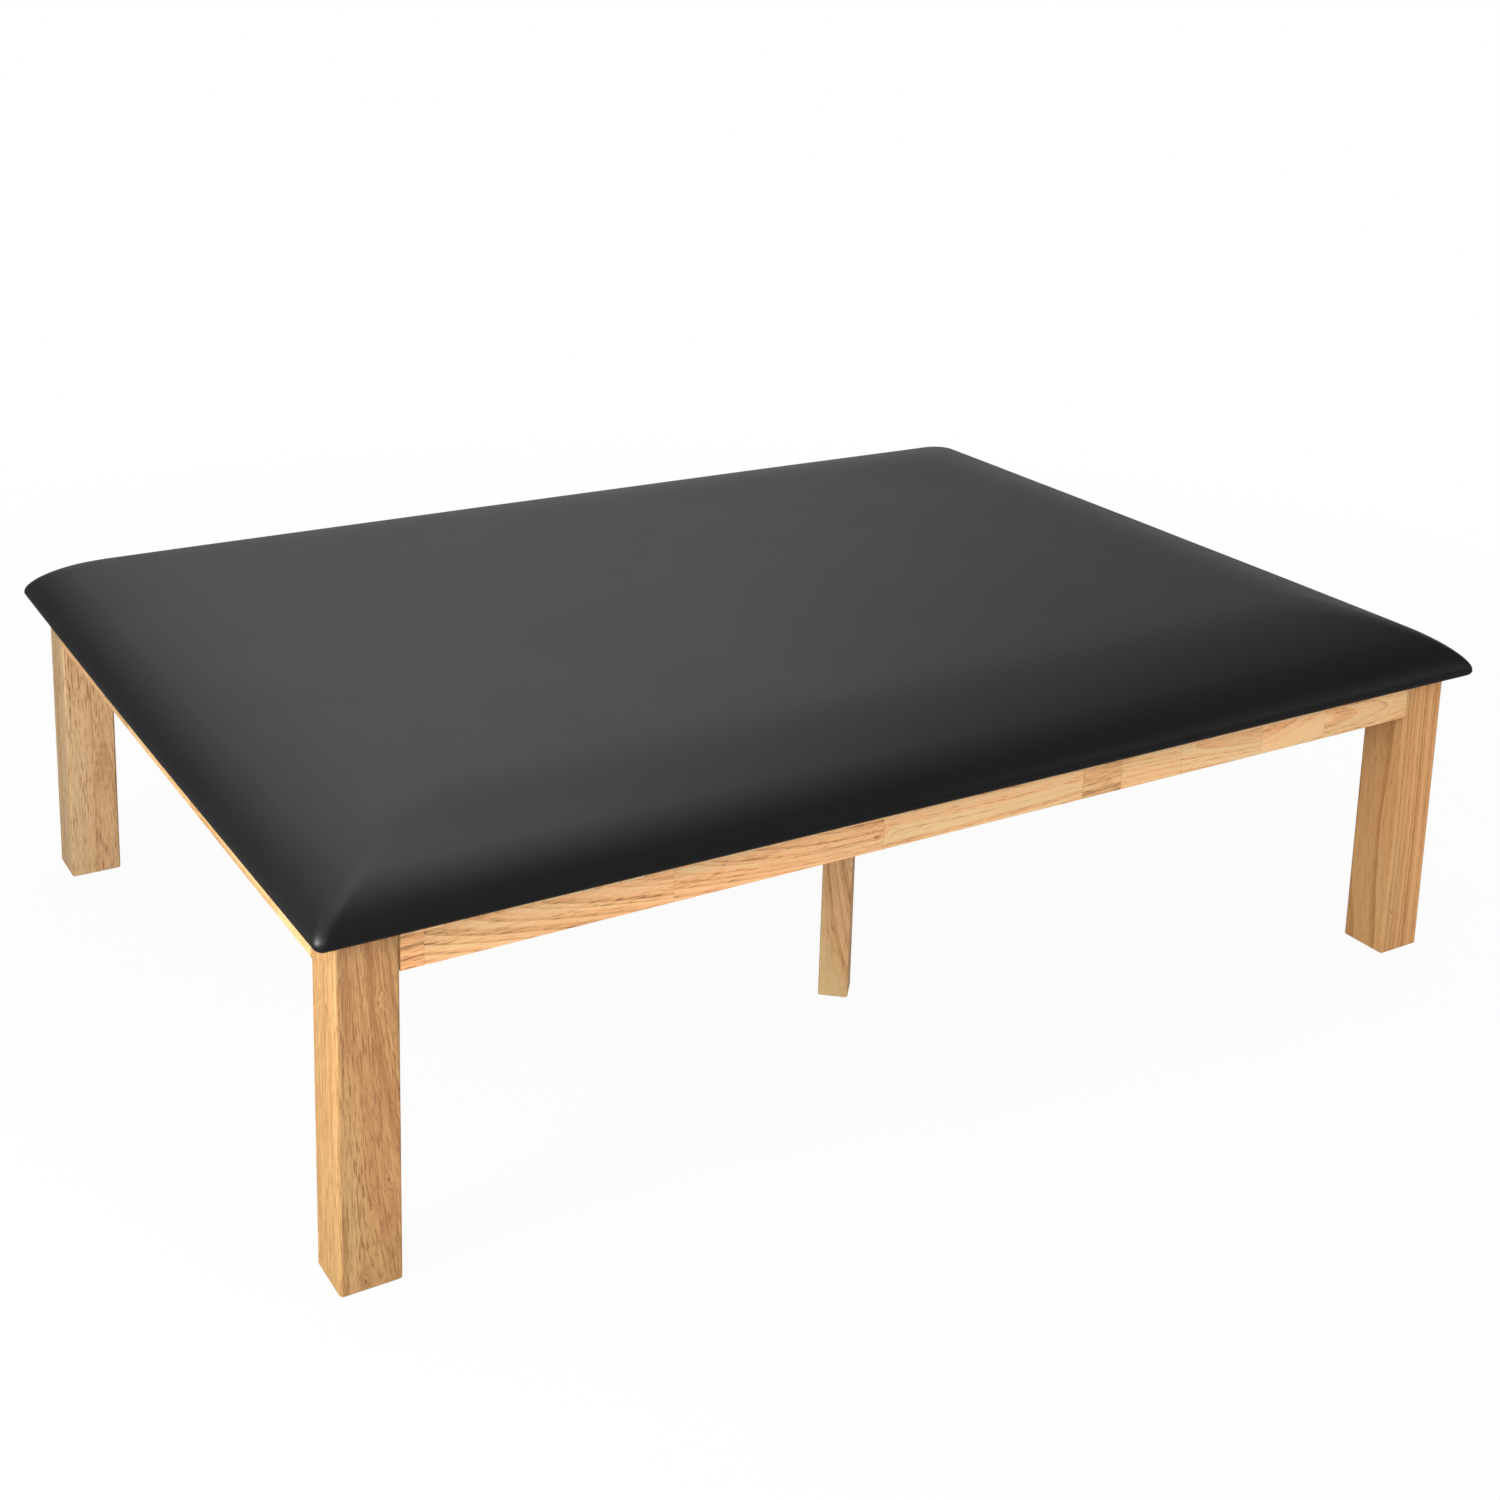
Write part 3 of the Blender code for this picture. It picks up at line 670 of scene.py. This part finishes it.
def dressFrame():
    alongX, alongY, alongZ = (1, 0, 0), (0, 1, 0), (0, 0, 1)
    nearLeg = [{"blocks": [(0, -0.06, 0.75)]}]
    farLeg = [{"blocks": [(0, -0.06, 0.0)]}]
    backLeg = [
        {"blocks": [(0, -0.02, 0.55)]},
        {"from": 0.002, "seamWidth": 3.0, "blocks": [(0, -0.12, 0.3)]},
    ]
    pieces = {
        "leg_front_left": (alongZ, alongX, nearLeg),
        "leg_front_right": (alongZ, alongX, farLeg),
        "leg_back_left": (alongZ, alongX, backLeg),
        "leg_back_right": (alongZ, alongX, sawnStaves(32, 0.52, [0.01])),
        "front_rail": (alongX, alongZ, frontRailStaves),
        "back_rail": (alongX, alongZ, sawnStaves(41, 1.87, [-0.008])),
        "left_rail": (alongY, alongZ, sawnStaves(42, 1.3, [0.010])),
        "right_rail": (alongY, alongZ, sawnStaves(43, 1.3, [-0.012])),
        "center_beam": (alongY, alongZ, sawnStaves(44, 1.4, [0.004])),
        "joist_left": (alongY, alongZ, sawnStaves(45, 1.4, [-0.006])),
        "joist_right": (alongY, alongZ, sawnStaves(46, 1.4, [0.008])),
    }
    knots = knotsByPiece()
    for name, (along, across, staves) in pieces.items():
        dressWood(name, along, across, staves, knots)
    turn = math.radians(-40)  # the middle legs stand turned
    for name, tone in (("mid_leg_front", 0.0), ("mid_leg_back", 0.05)):
        across = (math.cos(turn), math.sin(turn), 0)
        dressWood(name, alongZ, across, [{"blocks": [(0, tone, 0.75)]}], knots, body=name)
    for index, (corner, x, y) in enumerate(corners):
        along = Vector((-y, x, 0)).normalized()
        dressWood("corner_brace_" + corner, along, alongZ, sawnStaves(61 + index, 0.2, []), knots)
    print("wooden frame dressed")


dressFrame()


# Deck: birch plywood, peeled veneer with wide soft figure
plywood = {
    **wood,
    "dark": linear(176, 132, 88),
    "brown": linear(205, 166, 120),
    "tan": linear(222, 188, 145),
    "pale": linear(234, 206, 168),
    "bandsPerMetre": 60,
    "bandStrength": 0.35,
    "streakStrength": 0.30,
    "ringLine": 0.12,
    "dashStrength": 0.10,
    "poreStrength": 0.08,
    "blotchStrength": 0.25,
    "base": 0.58,
    "roughness": 0.62,
    "coat": 0.0,
}


def dressDeck():
    turn = pieceFrame((0, 1, 0), (1, 0, 0))
    for index, side in enumerate(("left", "right")):
        name = "deck_panel_" + side
        staves = [{"blocks": [(0, 0.05 * index, 0.95)]}]
        finish = woodMaterial(name + "Plywood", middleOf(name), turn, staves, (), plywood)
        dress(name, finish, "table")
    print("deck dressed")


dressDeck()


# Steel: zinc-plated, with a faint spangle
zinc = {
    "light": linear(196, 198, 202),
    "dark": linear(158, 161, 167),
    "cellsPerMetre": 260.0,
    "scratchesPerMetre": 1800,
    "shades": {"spangle": 0.6, "scratches": 0.3},
    "roughness": 0.24,
    "roughnesses": {"spangle": 0.08, "scratches": 0.16},
    "relief": 0.00002,
    "reliefStrength": 0.5,
    "sharpAngle": 35,
}


def zincMaterial():
    material, graph = newMaterial("zincSteel")
    place = graph.objectPlace()
    cells = {"Vector": place, "Scale": zinc["cellsPerMetre"]}
    spangle = graph.parts(graph.node("ShaderNodeTexVoronoi", None, cells, out=1))[0]
    scratches = graph.noise(place, zinc["scratchesPerMetre"], detail=3)
    shades, rough = zinc["shades"], zinc["roughnesses"]
    shade = spangle * shades["spangle"] + scratches * shades["scratches"]
    roughness = scratches * rough["scratches"] + spangle * rough["spangle"] + zinc["roughness"]
    finish = {
        "Base Color": graph.mixColour(shade, (*zinc["dark"], 1), (*zinc["light"], 1)),
        "Metallic": 1.0,
        "Roughness": roughness,
    }
    surface(graph, finish, scratches, zinc["relief"], zinc["reliefStrength"])
    return material


def dressSteel():
    for name in nodes:
        if any(word in name for word in ("bolt", "nut", "insert", "bracket")):
            onLeg = name.startswith("mid_leg") and name.endswith("bolt")
            body = "mid_leg_" + name.split("_")[2] if onLeg else "table"
            dress(name, zincSteel, body, zinc["sharpAngle"])
    print("steel dressed")


zincSteel = zincMaterial()
dressSteel()


# Screws and threads, repeated by geometry nodes
screw = {
    "headRadius": 0.0042,
    "headHeight": 0.0016,
    "slotLength": 0.0048,
    "slotWidth": 0.0009,
    "slotDepth": 0.0010,
    "shankRadius": 0.0022,
    "shankLength": 0.004,
}
head = {"rimShare": 0.4, "domeShare": 0.6, "domeTop": 0.62, "overlap": 0.1}
bracket = {"thickness": 0.002, "holePlace": 0.0174, "holeSpacing": 0.022}  # measured on the model
braceScrew = {"inset": 0.024, "rise": 0.016}
thread = {"pitch": 0.00125, "turns": 8.5, "radius": 0.00395, "ridge": 0.00042, "start": 0.0022}
segments = {"head": 20, "shank": 12, "coil": 20, "ridge": 4}
copies = {"mostSpin": 6.283, "seed": 7, "sharpAngle": 40}


def treeWithInputs(name, sizes):
    tree = bpy.data.node_groups.new(name, "GeometryNodeTree")
    tree.interface.new_socket("Geometry", in_out="INPUT", socket_type="NodeSocketGeometry")
    identifiers = {}
    for label in sizes:
        socket = tree.interface.new_socket(label, in_out="INPUT", socket_type="NodeSocketFloat")
        identifiers[label] = socket.identifier
    tree.interface.new_socket("Geometry", in_out="OUTPUT", socket_type="NodeSocketGeometry")
    graph = Graph(tree)
    entry = tree.nodes.new("NodeGroupInput")
    values = {socket.name: Wire(graph, socket) for socket in entry.outputs if socket.name}
    return tree, graph, values, identifiers


def placedCopies(graph, points, copy):
    facing = graph.node("GeometryNodeInputNamedAttribute", {"data_type": "FLOAT_VECTOR"}, {0: "facing"})
    turn = graph.node("FunctionNodeAlignRotationToVector", {"axis": "Z"}, {"Vector": facing})
    chance = {2: 0.0, 3: copies["mostSpin"], "Seed": copies["seed"]}
    spin = graph.node("FunctionNodeRandomValue", {"data_type": "FLOAT"}, chance, out=1)
    aboutZ = graph.node("FunctionNodeAxisAngleToRotation", None, {"Axis": (0, 0, 1), "Angle": spin})
    spun = graph.node("FunctionNodeRotateRotation", {"rotation_space": "LOCAL"}, {0: turn, 1: aboutZ})
    values = {"Points": points, "Instance": copy, "Rotation": spun}
    placed = graph.node("GeometryNodeInstanceOnPoints", None, values)
    real = graph.node("GeometryNodeRealizeInstances", None, {0: placed})
    done = graph.node("GeometryNodeSetMaterial", None, {"Geometry": real, "Material": zincSteel})
    graph.node("NodeGroupOutput", None, {0: done})


def raised(graph, mesh, height):
    values = {"Geometry": mesh, "Translation": graph.vector(0, 0, height)}
    return graph.node("GeometryNodeTransform", None, values)


def cylinder(graph, sides, radius, depth):
    values = {"Vertices": sides, "Radius": radius, "Depth": depth}
    return graph.node("GeometryNodeMeshCylinder", None, values)


def screwTree():
    tree, graph, size, identifiers = treeWithInputs("screwHeads", screw)
    height, radius, length = size["headHeight"], size["headRadius"], size["shankLength"]
    rim = cylinder(graph, segments["head"], radius, height * head["rimShare"])
    rim = raised(graph, rim, height * (head["rimShare"] / 2))
    values = {
        "Vertices": segments["head"],
        "Radius Top": radius * head["domeTop"],
        "Radius Bottom": radius,
        "Depth": height * head["domeShare"],
    }
    dome = graph.node("GeometryNodeMeshCone", None, values)
    dome = raised(graph, dome, height * head["rimShare"])
    shank = cylinder(graph, segments["shank"], size["shankRadius"], length)
    shank = raised(graph, shank, length * -0.5 + height * head["overlap"])
    solid = graph.node("GeometryNodeMeshBoolean", {"operation": "UNION"}, {1: [rim, dome, shank]})
    slots = []
    for wide, deep in (("slotLength", "slotWidth"), ("slotWidth", "slotLength")):
        block = graph.vector(size[wide], size[deep], size["slotDepth"] * 2)
        block = graph.node("GeometryNodeMeshCube", None, {"Size": block})
        slots.append(raised(graph, block, height))
    cut = graph.node("GeometryNodeMeshBoolean", {"operation": "DIFFERENCE"}, {0: solid, 1: slots})
    placedCopies(graph, size["Geometry"], cut)
    return tree, identifiers


def threadTree():
    tree, graph, size, identifiers = treeWithInputs("boltThreads", thread)
    values = {
        "Resolution": segments["coil"],
        "Rotations": size["turns"],
        "Start Radius": size["radius"],
        "End Radius": size["radius"],
        "Height": size["pitch"] * size["turns"],
    }
    spiral = graph.node("GeometryNodeCurveSpiral", None, values)
    values = {"Resolution": segments["ridge"], "Radius": size["ridge"]}
    ridge = graph.node("GeometryNodeCurvePrimitiveCircle", None, values)
    values = {"Curve": spiral, "Profile Curve": ridge, "Fill Caps": True}
    coil = graph.node("GeometryNodeCurveToMesh", None, values)
    placedCopies(graph, size["Geometry"], raised(graph, coil, size["start"]))
    return tree, identifiers


def repeated(name, spots, tree, identifiers, sizes, body):
    mesh = bpy.data.meshes.new(name + "Points")
    mesh.from_pydata([spot for spot, _ in spots], [], [])
    facing = mesh.attributes.new("facing", "FLOAT_VECTOR", "POINT")
    facing.data.foreach_set("vector", [value for _, direction in spots for value in direction])
    holder = addObject(name + "Points", mesh)
    modifier = holder.modifiers.new("copies", "NODES")
    modifier.node_group = tree
    for label, value in sizes.items():
        modifier[identifiers[label]] = value
    bpy.context.view_layer.update()
    evaluated = holder.evaluated_get(bpy.context.evaluated_depsgraph_get())
    plain = bpy.data.meshes.new_from_object(evaluated)
    plain.name = name
    plain.shade_smooth()
    plain.set_sharp_from_angle(angle=math.radians(copies["sharpAngle"]))
    bpy.data.objects.remove(holder)
    piece = addObject(name, plain)
    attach(piece, body)
    print(name, len(plain.polygons), "faces")


def bracketScrews(corner, first, second, along):
    spots = []
    for side in (-0.5, 0.5):
        slide = Vector(along) * side * bracket["holeSpacing"]
        for out, face in ((first, second), (second, first)):
            spots.append((corner + slide + out * bracket["holePlace"] + face * bracket["thickness"], face))
    return spots


def bracketSpots():  # from each bracket's box: its corner, and the two ways that its leaves run
    spots = []
    down, up = Vector((0, 0, -1)), Vector((0, 0, 1))
    inward = {
        "front": Vector((0, 1, 0)),
        "back": Vector((0, -1, 0)),
        "left": Vector((1, 0, 0)),
        "right": Vector((-1, 0, 0)),
    }
    for name in nodes:
        words = name.split("_")
        if "bracket" not in words:
            continue
        low, high = (Vector(end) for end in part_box(name))
        corner = (low + high) / 2
        into = inward[words[2]]
        if words[0] == "deck":
            level = 0 if into.x else 1
            corner[level] = low[level] if into[level] > 0 else high[level]
            corner.z = high.z
            spots += bracketScrews(corner, into, down, into.cross(up))
        else:
            aside = -inward[words[3]]
            corner.x = low.x if aside.x > 0 else high.x
            corner.y = low.y if into.y > 0 else high.y
            spots += bracketScrews(corner, into, aside, up)
    return spots


def braceSpots():  # four screws in each corner brace's inner face, and a thread through each nut
    screws, threads = [], []
    for corner, x, y in corners:
        inwards = Vector((-x, -y, 0)).normalized()
        sideways = Vector((-inwards.y, inwards.x, 0))
        points = [vertex.co.copy() for vertex in nodes["corner_brace_" + corner].data.vertices]
        middle = sum(points, Vector()) / len(points)
        face = max(point.dot(inwards) for point in points)
        reach = max(abs((point - middle).dot(sideways)) for point in points)
        level = (max(point.z for point in points) + min(point.z for point in points)) / 2
        frameCorner = Vector((x * frameHalf.x, y * frameHalf.y, 0))
        foot = frameCorner + inwards * (face - frameCorner.dot(inwards))
        for side in (-1, 1):
            for rise in (-1, 1):
                lift = Vector((0, 0, level + rise * braceScrew["rise"]))
                screws.append((foot + sideways * side * (reach - braceScrew["inset"]) + lift, inwards))
        for height in ("lower", "upper"):
            low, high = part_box(f"flange_nut_{corner}_{height}")
            threads.append((Vector((foot.x, foot.y, (low[2] + high[2]) / 2)), inwards))
    return screws, threads


braceScrews, threadSpots = braceSpots()
repeated("woodScrews", bracketSpots() + braceScrews, *screwTree(), screw, "table")
repeated("boltThreads", threadSpots, *threadTree(), thread, "table")


# Cushion: foam under one vinyl skin, rolled over at the rim and drawn in under the deck
cushion = {
    "swell": 0.0088,  # how far the roll stands out past the deck
    "bow": 0.0042,  # and how much further at mid-side
    "cornerRadius": 0.016,
    "cornerSoftening": 0.25,
    "widestRise": 0.0105,  # above the top of the frame
    "rimRise": 0.104,
    "crownRise": 0.002,
    "rollDepth": 0.240,
    "rollTopPower": 2.0,
    "rollSidePower": 1.5,
    "skin": 0.001,
    "gap": 0.0003,
    "tuck": 0.020,
    "foldRadius": 0.003,
    "innerRadius": 0.0063,
    "cornerPoints": 7,
    "straightStep": 0.024,
    "flatLength": 0.1,
    "flatPoints": 50,
    "rollPoints": 400,
    "turnPoints": 40,
    "fineStep": 0.002,
    "ringStep": 0.0052,
    "shoulderEase": 10,  # passes of smoothing
    "kneeEase": 600,
    "kneeFade": (0.60, 0.90),
    "easing": 0.25,
    "middleInset": 0.05,
    "middleCorner": 0.06,
    "middleLoops": 4,
    "crownInset": 0.1,
    "crownZone": 0.02,
    "ripple": 0.0005,  # how high the skin's unevenness is
    "rippleWaves": [(2.3, 3.1, 1), (6.1, 8.7, 0.4)],  # waves in a metre, shift, share
    "rippleFade": 8,
    "sharpAngle": 60,
}
stepsX, stepsY = [round(2 * half / cushion["straightStep"]) for half in frameHalf]


def rollProfile(deckOverhang, underside):
    c = cushion
    outermost = deckOverhang + c["swell"]
    widest = frameTop + c["widestRise"]
    rise = c["rimRise"] - c["widestRise"]
    edge = deckOverhang + c["gap"] + c["skin"]
    points = []
    for i in range(c["flatPoints"]):
        inset = c["rollDepth"] + c["flatLength"] * (1 - i / c["flatPoints"])
        points.append((outermost - inset, frameTop + c["rimRise"]))
    for i in range(c["rollPoints"] + 1):
        angle = math.pi / 2 * (1 - i / c["rollPoints"])
        inset = c["rollDepth"] * (1 - abs(math.cos(angle)) ** (2 / c["rollTopPower"]))
        points.append((outermost - inset, widest + rise * math.sin(angle) ** (2 / c["rollSidePower"])))
    for i in range(1, c["turnPoints"] + 1):
        angle = math.pi / 2 * i / c["turnPoints"]
        drop = (widest - underside) * math.sin(angle)
        points.append((edge + (outermost - edge) * math.cos(angle), widest - drop))
    line = resampled(np.array(points), c["fineStep"])
    for _ in range(c["shoulderEase"]):  # the skin rounds off the roll's start and its widest line
        line[1:-1] += c["easing"] * (line[:-2] + line[2:] - 2 * line[1:-1])
    fadeLow, fadeHigh = c["kneeFade"]
    height = (line[1:-1, 1:] - widest) / rise
    share = np.clip((height - fadeLow) / (fadeHigh - fadeLow), 0, 1)
    for _ in range(c["kneeEase"]):  # and the roll's start blends far into the flat top
        line[1:-1] += c["easing"] * share * (line[:-2] + line[2:] - 2 * line[1:-1])
    return resampled(line, c["ringStep"])


def resampled(line, step):
    lengths = np.hypot(*np.diff(line, axis=0).T)
    place = np.concatenate([[0], np.cumsum(lengths)])
    count = max(2, round(place[-1] / step))
    at = np.linspace(0, place[-1], count + 1)
    return np.stack([np.interp(at, place, line[:, 0]), np.interp(at, place, line[:, 1])], 1)


def loopPoints(halfX, halfY, radius, bow, squareCorner=None):
    # One quarter after another; the corner's arc has its own points, which a square corner spreads out
    k = cushion["cornerPoints"]
    points = []
    for quarter, (x, y) in enumerate(((1, 1), (-1, 1), (-1, -1), (1, -1))):
        ends = quarter % 2
        for i in range(2 * k + 1):
            if squareCorner is None:
                angle = (quarter + i / (2 * k)) * math.pi / 2
                px = x * (halfX - radius) + radius * math.cos(angle)
                py = y * (halfY - radius) + radius * math.sin(angle)
            else:
                back = squareCorner * abs(k - i) / k
                alongY = (i >= k) == bool(ends)
                px = x * halfX if alongY else x * (halfX - back)
                py = y * (halfY - back) if alongY else y * halfY
            points.append((px, py))
        start = Vector(points[-1])
        stop = Vector((start.x, -start.y)) if ends else Vector((-start.x, start.y))
        steps = stepsY if ends else stepsX
        points += [tuple(start.lerp(stop, i / steps)) for i in range(1, steps)]
    bowed = []
    for px, py in points:
        u, v = px / halfX, py / halfY
        bowed.append((px + bow * u * (1 - v * v), py + bow * v * (1 - u * u)))
    return bowed


def ripple(x, y, z):
    waves = [
        share * noise.noise(Vector((x * scale, y * scale, z * scale + shift)))
        for scale, shift, share in cushion["rippleWaves"]
    ]
    return sum(waves) * cushion["ripple"]


def crown(x, y):  # the top's faint rise towards its middle
    u = x / (frameHalf.x - cushion["crownInset"])
    v = y / (frameHalf.y - cushion["crownInset"])
    return cushion["crownRise"] * max(0, 1 - u * u) * max(0, 1 - v * v)


def topLoops(edge, height, inset):  # from the square grid in the middle out to where the roll starts
    c = cushion
    halfX, halfY = frameHalf.x + edge, frameHalf.y + edge
    corner = c["middleCorner"]
    inner = loopPoints(halfX - c["middleInset"], halfY - c["middleInset"], 0, 0, squareCorner=corner)
    rim = loopPoints(halfX, halfY, c["cornerRadius"] + c["cornerSoftening"] * inset, c["bow"])
    loops = []
    for i in range(c["middleLoops"]):
        share = i / c["middleLoops"]
        between = [(a[0] + (b[0] - a[0]) * share, a[1] + (b[1] - a[1]) * share) for a, b in zip(inner, rim)]
        loops.append([(x, y, height) for x, y in between])
    return loops


def cushionLoops():  # over the top and the roll, then the skin's inside face, up to the deck
    c = cushion
    low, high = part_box("deck_panel_left")
    deckOverhang, deckTop = high[1] - frameHalf.y, high[2]
    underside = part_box("vinyl_cover")[0][2]
    outermost = deckOverhang + c["swell"]
    widest = frameTop + c["widestRise"]
    profile = rollProfile(deckOverhang, underside)
    rings = []
    for outset, height in profile:
        inset = outermost - outset
        radius, bow = c["cornerRadius"] + c["cornerSoftening"] * inset, c["bow"]
        if height <= widest:
            drop = (widest - height) / (widest - underside)
            radius = max(c["cornerRadius"] - inset, c["foldRadius"])
            bow = c["bow"] * math.sqrt(max(0, 1 - drop * drop))
        rings.append((outset, height, radius, bow))
    foldTop, inside = underside + c["skin"], deckOverhang + c["gap"]
    rings += [
        (-c["tuck"], underside, c["foldRadius"], 0),
        (-c["tuck"], foldTop, c["foldRadius"], 0),
        (inside, foldTop, c["innerRadius"], 0),
        (inside, deckTop + c["gap"], c["innerRadius"], 0),
    ]
    edge, height = profile[0]
    loops = topLoops(edge, height, outermost - edge)
    skinLoops = len(loops) + len(profile)
    for outset, height, radius, bow in rings:
        ring = loopPoints(frameHalf.x + outset, frameHalf.y + outset, radius, bow)
        loops.append([(x, y, height) for x, y in ring])
    return loops, skinLoops


def fillMiddle(shape, ring, height):  # a grid whose sides are the innermost loop
    k = cushion["cornerPoints"]
    wide, deep = stepsX + 2 * k, stepsY + 2 * k

    def side(start, count):
        return [ring[(start + i) % len(ring)] for i in range(count + 1)]

    back = side(k, wide)  # from the corner at +x +y, all the way round
    left = side(k + wide, deep)
    front = side(k + wide + deep, wide)[::-1]
    right = side(k + 2 * wide + deep, deep)[::-1]
    grid = [back]
    for j in range(1, deep):
        line = [right[j]]
        for i in range(1, wide):
            x, y = back[i].co.x, right[j].co.y
            line.append(shape.verts.new((x, y, height + crown(x, y) + ripple(x, y, height))))
        grid.append([*line, left[j]])
    grid.append(front)
    for a, b in zip(grid, grid[1:]):
        for i in range(wide):
            shape.faces.new((a[i], a[i + 1], b[i + 1], b[i]))


def buildCushion():
    c = cushion
    loops, skinLoops = cushionLoops()
    shape = bmesh.new()
    rows = []
    for index, loop in enumerate(loops):
        fade = min(1, max(0, (skinLoops - 1 - index) / c["rippleFade"]))
        row = []
        for x, y, z in loop:
            rise = crown(x, y) if z > frameTop + c["rimRise"] - c["crownZone"] else 0
            row.append(shape.verts.new((x, y, z + ripple(x, y, z) * fade + rise)))
        rows.append(row)
    for inside, outside in zip(rows, rows[1:]):
        for i in range(len(inside)):
            shape.faces.new((inside[i - 1], outside[i - 1], outside[i], inside[i]))
    fillMiddle(shape, rows[0], loops[0][0][2])
    shape.faces.new(rows[-1])
    bmesh.ops.recalc_face_normals(shape, faces=shape.faces)
    mesh = bpy.data.meshes.new("cushion")
    shape.to_mesh(mesh)
    shape.free()
    mesh.shade_smooth()
    mesh.set_sharp_from_angle(angle=math.radians(c["sharpAngle"]))
    return addObject("cushion", mesh)


# Vinyl: near black, with a fine leather grain
vinyl = {
    "colour": linear(20, 20, 21),
    "worn": linear(25, 25, 26),
    "roughness": 0.37,
    "specular": 0.5,
    "grainPerMetre": 780,
    "grainSoftness": 0.35,
    "grainFade": (0.15, 0.75),
    "grainDepth": 0.00009,
    "grainStrength": 0.5,
    "finePerMetre": 2600,
    "fineHeight": 0.2,
    "patchesPerMetre": 5,
    "shades": {"patches": 0.5, "grain": -0.25, "fine": 0.2},
    "roughnesses": {"patches": 0.06, "grain": 0.05},
}


def vinylMaterial():
    material, graph = newMaterial("blackVinyl")
    place = graph.objectPlace()
    values = {"Vector": place, "Scale": vinyl["grainPerMetre"], "Smoothness": vinyl["grainSoftness"]}
    cells = graph.node("ShaderNodeTexVoronoi", {"feature": "SMOOTH_F1"}, values)
    fine = graph.noise(place, vinyl["finePerMetre"])
    patches = graph.noise(place, vinyl["patchesPerMetre"], detail=3)
    grain = graph.smoothStep(cells, *vinyl["grainFade"])
    shades, rough = vinyl["shades"], vinyl["roughnesses"]
    shade = patches * shades["patches"] + grain * shades["grain"] + fine * shades["fine"]
    finish = {
        "Base Color": graph.mixColour(shade, (*vinyl["colour"], 1), (*vinyl["worn"], 1)),
        "Roughness": patches * rough["patches"] + grain * rough["grain"] + vinyl["roughness"],
        "Specular IOR Level": vinyl["specular"],
        "IOR": 1.45,
    }
    height = (1 - grain) + fine * vinyl["fineHeight"]
    surface(graph, finish, height, vinyl["grainDepth"], vinyl["grainStrength"])
    return material


pad = buildCushion()
pad.data.materials.append(vinylMaterial())
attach(pad, "table")
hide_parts("vinyl_cover", "foam_top", "foam_base")
print("cushion built:", len(pad.data.polygons), "faces")
